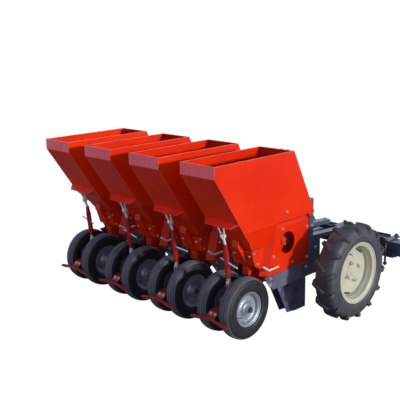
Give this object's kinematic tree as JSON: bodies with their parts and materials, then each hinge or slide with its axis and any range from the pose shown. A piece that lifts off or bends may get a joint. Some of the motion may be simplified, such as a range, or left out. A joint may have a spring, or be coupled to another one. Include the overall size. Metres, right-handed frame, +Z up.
{
  "type": "four-row mounted garlic planter",
  "caption": "Tractor-mounted garlic planter with tall seed hoppers, furrow openers, twin pneumatic press wheels and lugged drive wheels.",
  "frame": {"origin": "on the ground, below the middle of the machine's outline", "axes": "+X to the machine's right hand, along the toolbar; +Y forward, the travel direction, towards the hitch; +Z up"},
  "size_m": [2.8, 1.816, 1.19],
  "materials": {
    "red_paint": "gloss",
    "navy_paint": "satin",
    "black_steel": "satin",
    "zinc": "satin",
    "galvanised": "satin",
    "cream_paint": "satin",
    "bare_steel": "satin",
    "press_rubber": "satin",
    "drive_rubber": "matte"
  },
  "bodies": {
    "root": {"hopper_1": "red_paint", "hopper_2": "red_paint", "hopper_3": "red_paint", "hopper_4": "red_paint", "elevator_housings": "red_paint", "side_covers": "red_paint", "rear_covers": "red_paint", "latch_handles": "zinc", "unit_frame_1": "navy_paint", "unit_frame_2": "navy_paint", "unit_frame_3": "navy_paint", "unit_frame_4": "navy_paint", "furrow_openers": "navy_paint", "wheel_arm_1": "red_paint", "wheel_arm_2": "red_paint", "wheel_arm_3": "red_paint", "wheel_arm_4": "red_paint", "scrapers": "red_paint", "depth_brackets": "red_paint", "depth_tubes": "red_paint", "depth_screws": "zinc", "tommy_bars": "zinc", "wheel_carriers": "navy_paint", "wheel_chain_guards": "black_steel", "unit_chain_guards": "black_steel", "toolbar": "navy_paint", "beam_saddles": "navy_paint", "toolbar_clamps": "navy_paint", "clamp_bolts": "zinc", "headstock": "navy_paint"},
    "press_wheels_1": {"press_tyres_1": "press_rubber", "press_rims_1": "galvanised"},
    "press_wheels_2": {"press_tyres_2": "press_rubber", "press_rims_2": "galvanised"},
    "press_wheels_3": {"press_tyres_3": "press_rubber", "press_rims_3": "galvanised"},
    "press_wheels_4": {"press_tyres_4": "press_rubber", "press_rims_4": "galvanised"},
    "drive_wheel_left": {"drive_tyre_left": "drive_rubber", "drive_rim_left": "cream_paint"},
    "drive_wheel_right": {"drive_tyre_right": "drive_rubber", "drive_rim_right": "cream_paint"},
    "cross_shaft_body": {"cross_shaft": "bare_steel"}
  },
  "joints": [
    {"name": "press_wheels_1_roll", "type": "hinge", "parent": "root", "child": "press_wheels_1", "pos_m": [-0.75, -0.6, 0.2075], "axis": [-1, 0, 0], "continuous": true},
    {"name": "press_wheels_2_roll", "type": "hinge", "parent": "root", "child": "press_wheels_2", "pos_m": [-0.25, -0.6, 0.2075], "axis": [-1, 0, 0], "continuous": true},
    {"name": "press_wheels_3_roll", "type": "hinge", "parent": "root", "child": "press_wheels_3", "pos_m": [0.25, -0.6, 0.2075], "axis": [-1, 0, 0], "continuous": true},
    {"name": "press_wheels_4_roll", "type": "hinge", "parent": "root", "child": "press_wheels_4", "pos_m": [0.75, -0.6, 0.2075], "axis": [-1, 0, 0], "continuous": true},
    {"name": "drive_wheel_left_roll", "type": "hinge", "parent": "root", "child": "drive_wheel_left", "pos_m": [-1.15, 0.15, 0.34], "axis": [-1, 0, 0], "continuous": true},
    {"name": "drive_wheel_right_roll", "type": "hinge", "parent": "root", "child": "drive_wheel_right", "pos_m": [1.15, 0.15, 0.34], "axis": [-1, 0, 0], "continuous": true},
    {"name": "cross_shaft_turn", "type": "hinge", "parent": "root", "child": "cross_shaft_body", "pos_m": [0, 0.35, 0.495], "axis": [-1, 0, 0], "continuous": true}
  ],
  "couplings": [
    {"joint": "cross_shaft_turn", "follows": "drive_wheel_right_roll", "ratio": 1.5}
  ]
}
